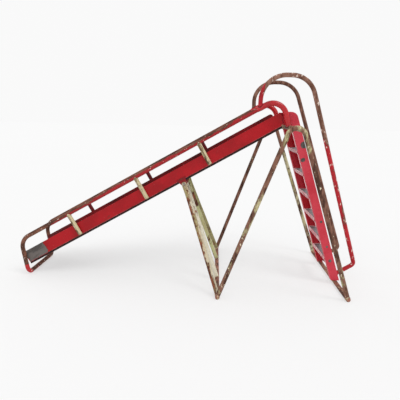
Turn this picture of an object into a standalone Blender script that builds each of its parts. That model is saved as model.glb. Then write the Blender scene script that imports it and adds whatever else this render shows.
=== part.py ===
"""A child's garden slide in steel pipe and sheet: chute, ladder, side frames and a folding support.

Metres, +Z up. The ladder is at +X and the chute runs down towards -X. The slide is the same on both
sides of the plane Y = 0, its left side (as the child slides) at -Y, and it stands on Z = 0.
"""
import math

import bmesh
import bpy
import numpy as np
from mathutils import Matrix, Vector

# ---- driving dimensions -------------------------------------------------------------------------
GAP = 0.0003                  # between pieces that touch
PIPE = 0.0269                 # outside diameter of the frame pipe
HOOK_PIPE = 0.0335            # outside diameter of the thicker pipe of the rail hooks
PIPE_SIDES = 16
CUTTER_SIDES = 32             # of the round tools that bore holes and cope pipe ends
ARC_STEPS = 8                 # facets of a half round outline
ROLL_STEPS = 10               # facets of the bed's rolled edge
BEND_STEP = math.radians(12)  # of a pipe's bend, per facet
FRAME_BEND_STEP = math.radians(14)
SHARP_ANGLE = math.radians(35)

HALF_WIDTH = 0.210            # from the middle plane to the centre line of each rail
CROSSBAR_Z = 0.981            # height of the top crossbar's centre
SLOPE = math.radians(30.0)    # of the chute and its rails
LADDER_LEAN = math.radians(17.75)
LADDER_FOOT_X = 0.953         # centre of the ladder's floor bar
FLOOR_BARS = 0.757            # between the centres of the two floor bars

RAIL_ABOVE_BAR = 0.2156       # rail centre line straight above the crossbar
RAIL_TOP_BACK = 0.202         # from the crossbar back to the joint between rail and hook
RAIL_CORNER_Z = 0.2325        # height where the rail's slope and its foot would meet
RAIL_FOOT_LEAN = math.radians(10.6)
RAIL_BEND = 0.085             # centre line radius of the rail's lower bend
FOOT_BEND = 0.045             # centre line radius of the lower crossbar's corners
FOOT_RISE = 0.070             # height of the joint between crossbar and rail

WALL_DROP = 0.079             # from rail centre line square down to the wall's top edge
WALL_HEIGHT = 0.076
WALL_SHEET = 0.0025
BED_SHEET = 0.0025
BED_ROLL = 0.013              # outside diameter of the bed's rolled edges
CHUTE_TOP_BACK = 0.049        # from the crossbar back to the chute's upper end
CHUTE_CORNER = 0.020          # rounding of the walls' upper corners
CHUTE_END_BACK = 0.006        # of the chute's lower end behind the foot of the rail

POSTS = ("lower", "middle", "upper")
POST_LOW = 0.270              # from the rail's foot to the lowest post, along X
POST_HIGH = 0.346             # from the highest post to the rail's upper end, along X
POST_BELOW_PIVOT = 0.2128     # from the rail square over the pivot down to the middle post, along X
POST_LENGTH = 0.150           # from rail centre line

HOOK_CORNER_BACK = 0.0545     # from the crossbar back to where the hook's straights would meet
HOOK_END_BACK = 0.010         # from the crossbar back to the hook's end
HOOK_END_RISE = 0.009         # of that end above the crossbar's centre
HOOK_BEND = 0.082

LADDER_RISE = 0.094           # of the stringers' tops above the crossbar's centre
STRINGER = 0.050              # width of the stringer channel
STRINGER_DEPTH = 0.036
STRINGER_SHEET = 0.003
STRINGER_ROUND = 0.044        # rounding of the stringer's upper rear corner
TREADS = 7
CLOSE_TREADS = 3              # the lowest treads, which stand closer together
TREAD_FIRST = 0.168           # height of the lowest tread
TREAD_PITCH = 0.126           # between the close treads
TREAD_RISE = 0.004            # of the top tread above the crossbar's centre
TREAD_LIP = 0.018
TREAD_SHEET = 0.0025
TREAD_CHAMFER = 0.0015

HANDRAIL_FOOT_BACK = 0.184    # from the crossbar back to the loop's foot on the hook
HANDRAIL_RISE = 0.190         # of the loop's top above its foot
HANDRAIL_SPLAY = 0.048        # of the loop's top outside the rail
HANDRAIL_CORNER = 0.0913      # from the crossbar to where loop top and leg would meet
HANDRAIL_BEND = 0.143
HANDRAIL_LEAN = math.radians(17.9)
HANDRAIL_HEEL_Z = 0.135       # height of the sharp bend behind the ladder's foot
HANDRAIL_HEEL_BEND = 0.026
HANDRAIL_END_Z = 0.058        # where it meets the stringer's rear flange

FRAME_APEX_BACK = 0.018       # from the crossbar back to where a side frame's legs would meet
FRAME_APEX_RISE = 0.1015      # of that point above the crossbar's centre
FRAME_APEX_Y = 0.550
FRAME_BEND = 0.0487
SUPPORT_FOOT_Y = 0.487        # side frame's front leg on the support's floor bar
LADDER_FOOT_Y = 0.455         # side frame's rear leg on the ladder's floor bar
BAR_OVERHANG = 0.0025         # of a floor bar past the outside of the legs on it

PIVOT_BACK = 0.629            # from the crossbar back to the bolts that the support turns on
STRUT_CLEARANCE = 0.0025      # between a strut folded flat and the chute's lower edge
STRUT_SPACE = 0.003           # between the feet of a strut and of a side frame's front leg
INNER_EYE_Y = 0.065           # from the middle plane to an inner strut's eye
INNER_FOOT_Y = 0.190          # and to its foot on the floor bar
EYE_WIDTH = 0.030             # flattened end of a strut
EYE_SHEET = 0.005
EYE_LENGTH = 0.060
EYE_IN_PIPE = 0.024           # of the eye's length inside the strut's pipe
BOLT = 0.010
BOLT_HEAD = 0.017             # across the corners
BOLT_HEAD_HEIGHT = 0.0064
BOLT_CLEARANCE = 0.0005       # around a bolt in its hole
BOLT_END = 0.003              # of a bolt past its nut
NUT_HEIGHT = 0.008
BRACKET_SHEET = 0.004
BRACKET_LENGTH = 0.062
BRACKET_OVERLAP = 0.012       # of a side bracket over the wall above the rolled edge
LUG_ROUND = 0.016             # radius of a lug round its bolt

# ---- derived sizes ------------------------------------------------------------------------------
R = PIPE / 2
BAR_Z = R * math.cos(math.pi / PIPE_SIDES)   # a floor bar lies on one facet
DOWN_SLOPE = Vector((-math.cos(SLOPE), 0, -math.sin(SLOPE)))
UP_NORMAL = Vector((-math.sin(SLOPE), 0, math.cos(SLOPE)))
OUTER_FACE = HALF_WIDTH - R - GAP            # of the chute walls and stringers
STRINGER_EDGE = OUTER_FACE - STRINGER_DEPTH  # inner edges of the stringer's flanges
LADDER_TOP = CROSSBAR_Z + LADDER_RISE
TREAD_TOP = CROSSBAR_Z + TREAD_RISE
TREAD_DEPTH = STRINGER / math.cos(LADDER_LEAN)
SUPPORT_FOOT_X = LADDER_FOOT_X - FLOOR_BARS
CHUTE_DROP = WALL_DROP + WALL_HEIGHT + GAP   # from the rail square down to the top of the bed
PIVOT_DROP = R + STRUT_CLEARANCE             # of the pivot below the chute's lower edge
EYE_Y = OUTER_FACE + BRACKET_SHEET + 2 * GAP + EYE_SHEET / 2
SIDES = (("left", -1), ("right", 1))

RED = (0.35, 0.012, 0.018)
DARK_RED = (0.16, 0.010, 0.012)
PINK_RED = (0.60, 0.08, 0.10)
BROWN = (0.16, 0.085, 0.055)
CREAM = (0.68, 0.60, 0.48)
OLIVE = (0.35, 0.30, 0.17)
GREY = (0.20, 0.17, 0.165)
RUST = (0.20, 0.08, 0.035)
STEEL = (0.32, 0.31, 0.30)


# ---- helpers ------------------------------------------------------------------------------------
def clear_scene():
    for obj in list(bpy.data.objects):
        bpy.data.objects.remove(obj, do_unlink=True)


def material(name, colour, roughness, metallic):
    made = bpy.data.materials.get(name)
    if made is None:
        made = bpy.data.materials.new(name)
        made.use_nodes = True
        shader = made.node_tree.nodes["Principled BSDF"]
        shader.inputs["Base Color"].default_value = (*colour, 1.0)
        shader.inputs["Roughness"].default_value = roughness
        shader.inputs["Metallic"].default_value = metallic
    return made


def add_object(name, bm, finish, parent=None):
    """Turn a bmesh into a named object with outward faces, smooth where it is round."""
    bmesh.ops.recalc_face_normals(bm, faces=bm.faces)
    mesh = bpy.data.meshes.new(name)
    bm.to_mesh(mesh)
    bm.free()
    mesh.materials.append(material(*finish))
    mesh.shade_smooth()
    mesh.set_sharp_from_angle(angle=SHARP_ANGLE)
    obj = bpy.data.objects.new(name, mesh)
    bpy.context.scene.collection.objects.link(obj)
    if parent is not None:
        obj.parent = parent
        obj.matrix_parent_inverse = parent.matrix_world.inverted()
    return obj


def boolean(obj, bm, operation):
    """Cut obj with, or join it to, the closed shape in bm, and keep the result as its mesh."""
    bmesh.ops.recalc_face_normals(bm, faces=bm.faces)
    mesh = bpy.data.meshes.new("tool")
    bm.to_mesh(mesh)
    bm.free()
    tool = bpy.data.objects.new("tool", mesh)
    bpy.context.scene.collection.objects.link(tool)
    modifier = obj.modifiers.new(operation.lower(), "BOOLEAN")
    modifier.operation = operation
    modifier.object = tool
    bpy.context.view_layer.update()
    graph = bpy.context.evaluated_depsgraph_get()
    result = bpy.data.meshes.new_from_object(obj.evaluated_get(graph))
    obj.modifiers.clear()
    obj.data = result
    bpy.data.objects.remove(tool, do_unlink=True)


def filleted(points, radii, step=BEND_STEP):
    """Points along a polyline in space whose inner corners are rounded with the given radii."""
    points = [Vector(p) for p in points]
    path = [points[0]]
    for before, corner, after, radius in zip(points, points[1:], points[2:], radii):
        into = (corner - before).normalized()
        out = (after - corner).normalized()
        turn = into.angle(out)
        reach = radius * math.tan(turn / 2)
        centre_line = (out - into).normalized()
        centre = corner + centre_line * (radius / math.cos(turn / 2))
        start = corner - into * reach
        axis = into.cross(out).normalized()
        count = max(2, round(turn / step))
        for i in range(count + 1):
            path.append(centre + Matrix.Rotation(turn * i / count, 3, axis) @ (start - centre))
    path.append(points[-1])
    return path


def tube_bmesh(path, diameter, reference=(0, 1, 0), sides=PIPE_SIDES):
    """A round bar swept along a path. One facet faces the reference direction."""
    path = [Vector(p) for p in path]
    bm = bmesh.new()
    rings = []
    side = Vector(reference)
    for i, point in enumerate(path):
        ahead = path[min(i + 1, len(path) - 1)] - point
        behind = point - path[max(i - 1, 0)]
        if i == 0:
            tangent = ahead.normalized()
        elif i == len(path) - 1:
            tangent = behind.normalized()
        else:
            tangent = (ahead.normalized() + behind.normalized()).normalized()
        side = (side - tangent * side.dot(tangent)).normalized()
        across = tangent.cross(side)
        ring = []
        for k in range(sides):
            angle = 2 * math.pi * (k + 0.5) / sides
            offset = side * math.cos(angle) + across * math.sin(angle)
            ring.append(bm.verts.new(point + offset * diameter / 2))
        rings.append(ring)
    for lower, upper in zip(rings, rings[1:]):
        for k in range(sides):
            bm.faces.new((lower[k], lower[(k + 1) % sides], upper[(k + 1) % sides], upper[k]))
    bm.faces.new(list(reversed(rings[0])))
    bm.faces.new(rings[-1])
    return bm


def cut_round(obj, point, direction, diameter):
    """Cut a round channel through obj, as a pipe end is coped to fit the pipe it meets."""
    along = Vector(direction).normalized()
    reach = 2 * PIPE
    radius = (diameter / 2 + GAP) / math.cos(math.pi / CUTTER_SIDES)
    reference = along.orthogonal()
    path = [Vector(point) - along * reach, Vector(point) + along * reach]
    boolean(obj, tube_bmesh(path, 2 * radius, reference, CUTTER_SIDES), "DIFFERENCE")


def prism_bmesh(outline, y_from, y_to):
    """A plate with the given X-Z outline between two Y values."""
    bm = bmesh.new()
    near = [bm.verts.new((x, y_from, z)) for x, z in outline]
    far = [bm.verts.new((x, y_to, z)) for x, z in outline]
    bm.faces.new(near)
    bm.faces.new(list(reversed(far)))
    for i in range(len(outline)):
        j = (i + 1) % len(outline)
        bm.faces.new((near[j], near[i], far[i], far[j]))
    return bm


def strip_bmesh(section, stations):
    """A closed section of (Y, normal offset) swept along stations of (point, normal)."""
    bm = bmesh.new()
    rings = []
    for point, normal in stations:
        rings.append([bm.verts.new(point + Vector((0, y, 0)) + normal * n) for y, n in section])
    count = len(section)
    for a, b in zip(rings, rings[1:]):
        for k in range(count):
            bm.faces.new((a[k], a[(k + 1) % count], b[(k + 1) % count], b[k]))
    bm.faces.new(rings[0])
    bm.faces.new(list(reversed(rings[-1])))
    return bm


def arc_xz(centre, radius, start, end, count):
    """Points of an arc in the X-Z plane, angles in radians from +X towards +Z."""
    angles = np.linspace(start, end, count + 1)
    return [(centre[0] + radius * math.cos(a), centre[1] + radius * math.sin(a)) for a in angles]


# ---- places shared by several pieces ------------------------------------------------------------
def stringer_x(z):
    """X of the ladder's centre line at height z."""
    return LADDER_FOOT_X - math.tan(LADDER_LEAN) * (z - BAR_Z)


CROSSBAR_X = stringer_x(TREAD_TOP) - TREAD_DEPTH / 2 - R - GAP     # against the top tread
RAIL_TOP_X = CROSSBAR_X - RAIL_TOP_BACK
CHUTE_TOP_X = CROSSBAR_X - CHUTE_TOP_BACK


def rail_point(x, side):
    """The point at X on the rail's centre line."""
    z = CROSSBAR_Z + RAIL_ABOVE_BAR + math.tan(SLOPE) * (x - CROSSBAR_X)
    return Vector((x, side * HALF_WIDTH, z))


def edge_point(x, drop):
    """The point at X on the line that runs parallel to the rail, at a square distance below it."""
    return Vector((x, 0, rail_point(x, 0).z - drop / math.cos(SLOPE)))


RAIL_CORNER_X = CROSSBAR_X - (rail_point(CROSSBAR_X, 0).z - RAIL_CORNER_Z) / math.tan(SLOPE)
RAIL_FOOT_X = RAIL_CORNER_X + math.tan(RAIL_FOOT_LEAN) * (RAIL_CORNER_Z - R)
CHUTE_END_X = RAIL_FOOT_X + CHUTE_END_BACK
PIVOT_BELOW_RAIL = CHUTE_DROP + BED_ROLL + PIVOT_DROP
PIVOT = edge_point(CROSSBAR_X - PIVOT_BACK, PIVOT_BELOW_RAIL)


def rail_foot(z, side):
    """A point on the rail's lower, almost upright part."""
    x = RAIL_FOOT_X - math.tan(RAIL_FOOT_LEAN) * (z - R)
    return Vector((x, side * HALF_WIDTH, z))


def tread_heights():
    """Heights of the treads' tops: the close ones, then the rest evenly up to the top one."""
    heights = [TREAD_FIRST + TREAD_PITCH * i for i in range(CLOSE_TREADS)]
    return heights + list(np.linspace(heights[-1], TREAD_TOP, TREADS - CLOSE_TREADS + 1)[1:])


PAINT_RED = ("worn red paint", RED, 0.55, 0.1)
PAINT_DARK = ("shaded red paint", DARK_RED, 0.6, 0.1)
PAINT_PINK = ("faded red paint", PINK_RED, 0.5, 0.1)
BARE_BROWN = ("browned steel", BROWN, 0.6, 0.5)
PAINT_CREAM = ("worn cream paint", CREAM, 0.6, 0.05)
PAINT_OLIVE = ("olive undercoat", OLIVE, 0.65, 0.1)
WORN_GREY = ("worn bare steel", GREY, 0.5, 0.6)
RUSTED = ("rusted edge", RUST, 0.85, 0.2)
BOLT_STEEL = ("bolt steel", STEEL, 0.45, 0.9)


# ---- chute --------------------------------------------------------------------------------------
def chute_stations(drop, start_x, end_x):
    """Both ends of the chute's line at the given drop, each with the normal there."""
    return [(edge_point(x, drop), UP_NORMAL) for x in (start_x, end_x)]


def build_bed():
    """The sliding sheet, its long edges rolled under the walls."""
    bm = strip_bmesh(bed_section(), chute_stations(CHUTE_DROP, CHUTE_TOP_X, CHUTE_END_X))
    return add_object("chute_bed", bm, RUSTED)


def bed_section():
    """Outline of the bed: a flat sheet that ends in a round roll on each side."""
    roll = BED_ROLL / 2
    middle = OUTER_FACE - roll
    meet = math.asin(1 - BED_SHEET / roll)
    angles = np.linspace(math.pi / 2, -math.pi - meet, ROLL_STEPS + 1)
    right = [(middle + roll * math.cos(a), -roll + roll * math.sin(a)) for a in angles]
    left = [(-y, n) for y, n in reversed(right)]
    return right + left


def build_wall(word, side):
    """A strip of sheet that stands on the bed's rolled edge, its upper end upright and rounded."""
    outer = side * OUTER_FACE
    inner = side * (OUTER_FACE - WALL_SHEET)
    section = [(inner, 0), (outer, 0), (outer, WALL_HEIGHT), (inner, WALL_HEIGHT)]
    spare = WALL_HEIGHT
    stations = chute_stations(WALL_DROP + WALL_HEIGHT, CHUTE_TOP_X + spare, CHUTE_END_X)
    wall = add_object("chute_wall_" + word, strip_bmesh(section, stations), PAINT_RED)
    end = CHUTE_TOP_X
    top = edge_point(end, WALL_DROP).z
    # the arc turns from the sloping top edge to the upright end
    reach = CHUTE_CORNER * math.tan(math.pi / 4 + SLOPE / 2)
    centre = (end - CHUTE_CORNER, top - reach)
    cut = arc_xz(centre, CHUTE_CORNER, 0, math.pi / 2 + SLOPE, ARC_STEPS)
    cut.append((cut[-1][0] - spare * math.sin(SLOPE), cut[-1][1] + spare * math.cos(SLOPE)))
    cut.append((end + 2 * spare, cut[-1][1]))
    cut.append((end + 2 * spare, top - 3 * spare))
    cut.append((end, top - 3 * spare))
    boolean(wall, prism_bmesh(cut, outer - CHUTE_CORNER, outer + CHUTE_CORNER), "DIFFERENCE")
    return wall


# ---- rails --------------------------------------------------------------------------------------
def build_rail(word, side):
    """The rail along the chute: straight, then bent down to the floor."""
    corner = rail_point(RAIL_CORNER_X, side)
    path = filleted((rail_point(RAIL_TOP_X, side), corner, rail_foot(FOOT_RISE, side)), (RAIL_BEND,))
    return add_object("rail_" + word, tube_bmesh(path, PIPE), PAINT_RED)


def build_foot_bar():
    """The crossbar on the floor that joins the rails' lower ends."""
    points = [rail_foot(FOOT_RISE - GAP, -1), rail_foot(R, -1),
              rail_foot(R, 1), rail_foot(FOOT_RISE - GAP, 1)]
    path = filleted(points, (FOOT_BEND, FOOT_BEND))
    return add_object("foot_bar", tube_bmesh(path, PIPE, (-1, 0, 0)), PAINT_RED)


def post_places():
    """X of the lower, middle and upper post on the rail; the middle one keeps clear of the pivot."""
    over_pivot = PIVOT.x - PIVOT_BELOW_RAIL * math.sin(SLOPE)
    return (RAIL_FOOT_X + POST_LOW, over_pivot - POST_BELOW_PIVOT, RAIL_TOP_X - POST_HIGH)


def build_post(name, x, side):
    """A short pipe from the rail down the outside of the chute wall."""
    start = rail_point(x, side)
    post = add_object(name, tube_bmesh((start, start - UP_NORMAL * POST_LENGTH), PIPE), PAINT_OLIVE)
    cut_round(post, start, DOWN_SLOPE, PIPE)
    return post


def build_hook(word, side):
    """The thicker pipe that carries the rail on and hooks over the top crossbar."""
    y = side * HALF_WIDTH
    start = rail_point(RAIL_TOP_X, side) - DOWN_SLOPE * GAP
    corner = rail_point(CROSSBAR_X - HOOK_CORNER_BACK, side)
    end = (CROSSBAR_X - HOOK_END_BACK, y, CROSSBAR_Z + HOOK_END_RISE)
    path = filleted((start, corner, end), (HOOK_BEND,))
    hook = add_object("rail_hook_" + word, tube_bmesh(path, HOOK_PIPE), PAINT_RED)
    cut_round(hook, (CROSSBAR_X, y, CROSSBAR_Z), (0, 1, 0), PIPE)
    return hook


# ---- ladder -------------------------------------------------------------------------------------
def stringer_outline(inset, low, high, rounding):
    """The stringer seen from the side: leaning edges, level ends, the upper rear corner round."""
    half = (STRINGER / 2 - inset) / math.cos(LADDER_LEAN)
    reach = rounding * math.tan(math.pi / 4 - LADDER_LEAN / 2)
    centre = (stringer_x(high) + half - reach, high - rounding)
    arc = [(stringer_x(high) + half, high)]
    if rounding > 0:
        arc = arc_xz(centre, rounding, LADDER_LEAN, math.pi / 2, ARC_STEPS)
    return ([(stringer_x(low) - half, low), (stringer_x(low) + half, low)] + arc
            + [(stringer_x(high) - half, high)])


def build_stringer(word, side):
    """A channel with its web outside and its flanges towards the treads."""
    low = BAR_Z + R + GAP
    sheet = STRINGER_SHEET
    outline = stringer_outline(0, low, LADDER_TOP, STRINGER_ROUND)
    shape = prism_bmesh(outline, side * OUTER_FACE, side * STRINGER_EDGE)
    stringer = add_object("stringer_" + word, shape, PAINT_PINK)
    inside = stringer_outline(sheet, low - sheet, LADDER_TOP - sheet, STRINGER_ROUND - sheet)
    hollow = prism_bmesh(inside, side * (OUTER_FACE - sheet), side * (STRINGER_EDGE - sheet))
    boolean(stringer, hollow, "DIFFERENCE")
    return stringer


def build_tread(number, z):
    """A folded tread: a flat top with a lip turned down along each long edge."""
    front = stringer_x(z) - TREAD_DEPTH / 2
    back = front + TREAD_DEPTH
    low = z - TREAD_LIP
    sheet = TREAD_SHEET
    chamfer = TREAD_CHAMFER
    outline = [(front, low), (front + sheet, low), (front + sheet, z - sheet),
               (back - sheet, z - sheet), (back - sheet, low), (back, low),
               (back, z - chamfer), (back - chamfer, z), (front + chamfer, z), (front, z - chamfer)]
    reach = STRINGER_EDGE - GAP
    return add_object("tread_%d" % number, prism_bmesh(outline, -reach, reach), WORN_GREY)


def build_side_frame(word, side):
    """One pipe bent into a tall A that stands wide of the chute, each foot on a floor bar."""
    apex = (CROSSBAR_X - FRAME_APEX_BACK, side * FRAME_APEX_Y, CROSSBAR_Z + FRAME_APEX_RISE)
    front_foot = Vector((SUPPORT_FOOT_X, side * SUPPORT_FOOT_Y, BAR_Z))
    rear_foot = Vector((LADDER_FOOT_X, side * LADDER_FOOT_Y, BAR_Z))
    path = filleted((front_foot, apex, rear_foot), (FRAME_BEND,), FRAME_BEND_STEP)
    frame = add_object("side_frame_" + word, tube_bmesh(path, PIPE), PAINT_CREAM)
    for foot in (front_foot, rear_foot):
        cut_round(frame, foot, (0, 1, 0), PIPE)
        keep_above(frame, foot)
    return frame


def keep_above(obj, foot):
    """Remove what a coped pipe end leaves beside and below the bar it stands on."""
    size = 2 * PIPE
    outline = [(foot.x - size, foot.z - size), (foot.x + size, foot.z - size),
               (foot.x + size, foot.z), (foot.x - size, foot.z)]
    boolean(obj, prism_bmesh(outline, foot.y - size, foot.y + size), "DIFFERENCE")


def build_bar(name, x, leg_y, finish, parent=None):
    """A straight floor bar across the slide, under legs that stand at leg_y on each side."""
    reach = leg_y + R + BAR_OVERHANG
    path = ((x, -reach, BAR_Z), (x, reach, BAR_Z))
    return add_object(name, tube_bmesh(path, PIPE, (0, 0, -1)), finish, parent)


def build_crossbar():
    """The bar under the hooks, between the side frames' tops and against the stringers."""
    inward = (FRAME_APEX_Y - LADDER_FOOT_Y) / (CROSSBAR_Z + FRAME_APEX_RISE - BAR_Z)
    reach = FRAME_APEX_Y - inward * (FRAME_APEX_RISE + PIPE) - R - GAP
    path = ((CROSSBAR_X, -reach, CROSSBAR_Z), (CROSSBAR_X, reach, CROSSBAR_Z))
    return add_object("top_crossbar", tube_bmesh(path, PIPE, (0, 0, -1)), BARE_BROWN)


def build_handrail(word, side):
    """A loop from the hook over the top and down behind the ladder to the stringer's foot."""
    foot = rail_point(CROSSBAR_X - HANDRAIL_FOOT_BACK, side)
    top_y = side * (HALF_WIDTH + HANDRAIL_SPLAY)
    top_z = foot.z + HANDRAIL_RISE
    corner_x = CROSSBAR_X + HANDRAIL_CORNER
    heel_x = corner_x + math.tan(HANDRAIL_LEAN) * (top_z - HANDRAIL_HEEL_Z)
    end_y = side * (OUTER_FACE + STRINGER_EDGE) / 2
    points = [foot, (foot.x, top_y, top_z), (corner_x, top_y, top_z),
              (heel_x, end_y, HANDRAIL_HEEL_Z), (stringer_x(HANDRAIL_END_Z), end_y, HANDRAIL_END_Z)]
    path = filleted(points, (HANDRAIL_BEND, HANDRAIL_BEND, HANDRAIL_HEEL_BEND))
    rail = add_object("handrail_" + word, tube_bmesh(path, PIPE), BARE_BROWN)
    cut_round(rail, foot, DOWN_SLOPE, HOOK_PIPE)
    past = stringer_outline(-GAP, -HANDRAIL_END_Z, 2 * (PIPE + HANDRAIL_END_Z), 0)
    boolean(rail, prism_bmesh(past, end_y - PIPE, end_y + PIPE), "DIFFERENCE")
    return rail


# ---- folding support ----------------------------------------------------------------------------
def eye_bmesh(centre, along, y_from, y_to):
    """A flat tab round at its free end, on centre, and running back along the strut."""
    across = Vector((along.z, 0, -along.x))
    half = EYE_WIDTH / 2
    outline = []
    for angle in np.linspace(0, math.pi, ARC_STEPS + 1):
        point = centre + across * half * math.cos(angle) - along * half * math.sin(angle)
        outline.append((point.x, point.z))
    for width in (-half, half):
        point = centre + along * EYE_LENGTH + across * width
        outline.append((point.x, point.z))
    return prism_bmesh(outline, y_from, y_to)


def build_strut(name, eye_y, foot_y, parent):
    """A strut pipe with a flattened, bored eye on the pivot and its foot coped to the bar."""
    foot = Vector((SUPPORT_FOOT_X, foot_y, BAR_Z))
    flat_foot = Vector((foot.x, 0, foot.z))
    along = (flat_foot - PIVOT).normalized()
    start = PIVOT + along * (EYE_LENGTH - EYE_IN_PIPE)
    start.y = eye_y
    strut = add_object(name, tube_bmesh((start, foot), PIPE), PAINT_CREAM, parent)
    eye = eye_bmesh(PIVOT, along, eye_y - EYE_SHEET / 2, eye_y + EYE_SHEET / 2)
    boolean(strut, eye, "UNION")
    cut_round(strut, (PIVOT.x, eye_y, PIVOT.z), (0, 1, 0), BOLT + 2 * BOLT_CLEARANCE)
    cut_round(strut, foot, (0, 1, 0), PIPE)
    keep_above(strut, foot)
    return strut


def lug_outline(rise):
    """A lug: square at the top, rise above the pivot, and round below it."""
    half = BRACKET_LENGTH / 2
    top = PIVOT + UP_NORMAL * rise
    points = [top + DOWN_SLOPE * half, top - DOWN_SLOPE * half]
    for angle in np.linspace(0, math.pi, ARC_STEPS + 1):
        points.append(PIVOT - (DOWN_SLOPE * math.cos(angle) + UP_NORMAL * math.sin(angle)) * LUG_ROUND)
    return [(point.x, point.z) for point in points]


def build_side_bracket(word, side):
    """A lug on the outside of the chute wall that carries one pivot bolt."""
    inner = side * (OUTER_FACE + GAP)
    outer = inner + side * BRACKET_SHEET
    outline = lug_outline(PIVOT_DROP + BED_ROLL + BRACKET_OVERLAP)
    bracket = add_object("strut_bracket_" + word, prism_bmesh(outline, inner, outer), PAINT_RED)
    cut_round(bracket, (PIVOT.x, inner, PIVOT.z), (0, 1, 0), BOLT + 2 * BOLT_CLEARANCE)
    return bracket


def build_inner_bracket(word, side):
    """A fork under the bed: two lugs joined by a plate, with a bolt hole through both."""
    y = side * INNER_EYE_Y
    rise = PIVOT_DROP + BED_ROLL - BED_SHEET - GAP
    inner = EYE_SHEET / 2 + GAP
    outer = inner + BRACKET_SHEET
    near_lug = prism_bmesh(lug_outline(rise), y - outer, y - inner)
    bracket = add_object("inner_bracket_" + word, near_lug, PAINT_DARK)
    boolean(bracket, prism_bmesh(lug_outline(rise), y + inner, y + outer), "UNION")
    half = BRACKET_LENGTH / 2
    plate = []
    for along, up in ((1, 0), (-1, 0), (-1, -1), (1, -1)):
        point = PIVOT + UP_NORMAL * (rise + up * BRACKET_SHEET) + DOWN_SLOPE * along * half
        plate.append((point.x, point.z))
    boolean(bracket, prism_bmesh(plate, y - outer, y + outer), "UNION")
    cut_round(bracket, (PIVOT.x, y, PIVOT.z), (0, 1, 0), BOLT + 2 * BOLT_CLEARANCE)
    return bracket


def round_bar(y_from, y_to, diameter, sides):
    """A short bar or hexagon along Y on the pivot axis."""
    path = ((PIVOT.x, y_from, PIVOT.z), (PIVOT.x, y_to, PIVOT.z))
    return tube_bmesh(path, diameter, (0, 0, 1), sides)


def pivot_stacks():
    """For each pivot: its word, the way its bolt's head faces, and the Y of head and nut faces."""
    fork = EYE_SHEET / 2 + BRACKET_SHEET + 2 * GAP
    stacks = []
    for word, side in SIDES:
        stacks.append((word, side, side * (EYE_Y + EYE_SHEET / 2 + GAP), side * OUTER_FACE))
        stacks.append(("inner_" + word, side, side * (INNER_EYE_Y + fork),
                       side * (INNER_EYE_Y - fork)))
    return stacks


def build_bolt(word, side, head_face, nut_face):
    """A pivot bolt: a hexagon head, and a shank through lug, eye and nut."""
    end = nut_face - side * (NUT_HEIGHT + BOLT_END)
    head = round_bar(head_face, head_face + side * BOLT_HEAD_HEIGHT, BOLT_HEAD, 6)
    bolt = add_object("pivot_bolt_" + word, head, BOLT_STEEL)
    boolean(bolt, round_bar(head_face + side * BOLT_HEAD_HEIGHT / 2, end, BOLT, PIPE_SIDES), "UNION")
    return bolt


def build_nut(word, side, nut_face):
    """The nut on the end of a pivot bolt."""
    nut = add_object("pivot_nut_" + word,
                     round_bar(nut_face, nut_face - side * NUT_HEIGHT, BOLT_HEAD, 6), BOLT_STEEL)
    cut_round(nut, (PIVOT.x, nut_face, PIVOT.z), (0, 1, 0), BOLT)
    return nut


def build_support():
    """The folding support: floor bar and four struts under an empty on the pivot axis."""
    hinge = bpy.data.objects.new("support_hinge", None)
    hinge.location = PIVOT
    bpy.context.scene.collection.objects.link(hinge)
    bpy.context.view_layer.update()
    build_bar("support_foot_bar", SUPPORT_FOOT_X, SUPPORT_FOOT_Y, PAINT_OLIVE, hinge)
    foot_y = SUPPORT_FOOT_Y - PIPE - STRUT_SPACE
    for word, side in SIDES:
        build_strut("strut_" + word, side * EYE_Y, side * foot_y, hinge)
        build_strut("strut_inner_" + word, side * INNER_EYE_Y, side * INNER_FOOT_Y, hinge)


def build_all():
    clear_scene()
    build_bed()
    for word, side in SIDES:
        build_wall(word, side)
        build_rail(word, side)
        build_hook(word, side)
        build_handrail(word, side)
        build_stringer(word, side)
        build_side_frame(word, side)
        build_side_bracket(word, side)
        build_inner_bracket(word, side)
        for place, x in zip(POSTS, post_places()):
            build_post("post_%s_%s" % (word, place), x, side)
    build_foot_bar()
    build_crossbar()
    build_bar("ladder_foot_bar", LADDER_FOOT_X, LADDER_FOOT_Y, PAINT_OLIVE)
    for number, z in enumerate(tread_heights(), 1):
        build_tread(number, z)
    build_support()
    for word, side, head_face, nut_face in pivot_stacks():
        build_bolt(word, side, head_face, nut_face)
        build_nut(word, side, nut_face)


build_all()
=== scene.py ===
import math

import bmesh
import bpy
import numpy as np
from mathutils import Matrix, Vector, noise


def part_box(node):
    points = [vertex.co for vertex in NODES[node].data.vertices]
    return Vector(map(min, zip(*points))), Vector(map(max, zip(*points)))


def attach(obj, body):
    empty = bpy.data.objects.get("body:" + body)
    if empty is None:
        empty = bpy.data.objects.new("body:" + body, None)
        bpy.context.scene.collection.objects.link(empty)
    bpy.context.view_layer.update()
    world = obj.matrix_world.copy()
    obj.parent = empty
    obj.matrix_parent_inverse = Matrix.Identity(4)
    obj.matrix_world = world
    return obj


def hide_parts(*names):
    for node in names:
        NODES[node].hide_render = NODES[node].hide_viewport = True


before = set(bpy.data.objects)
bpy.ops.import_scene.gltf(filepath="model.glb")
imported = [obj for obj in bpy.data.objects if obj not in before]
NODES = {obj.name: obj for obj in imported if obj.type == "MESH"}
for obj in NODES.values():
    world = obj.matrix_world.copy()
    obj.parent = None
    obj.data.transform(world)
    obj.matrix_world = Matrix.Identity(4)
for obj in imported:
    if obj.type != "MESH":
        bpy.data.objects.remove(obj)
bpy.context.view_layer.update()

# ---- sizes of the CAD model, in metres ----------------------------------------------------------
GAP = 0.0003                  # between pieces that are welded together
PIPE = 0.0269
HOOK_PIPE = 0.0335
R = PIPE / 2
HOOK_R = HOOK_PIPE / 2
HALF_WIDTH = 0.210
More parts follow.
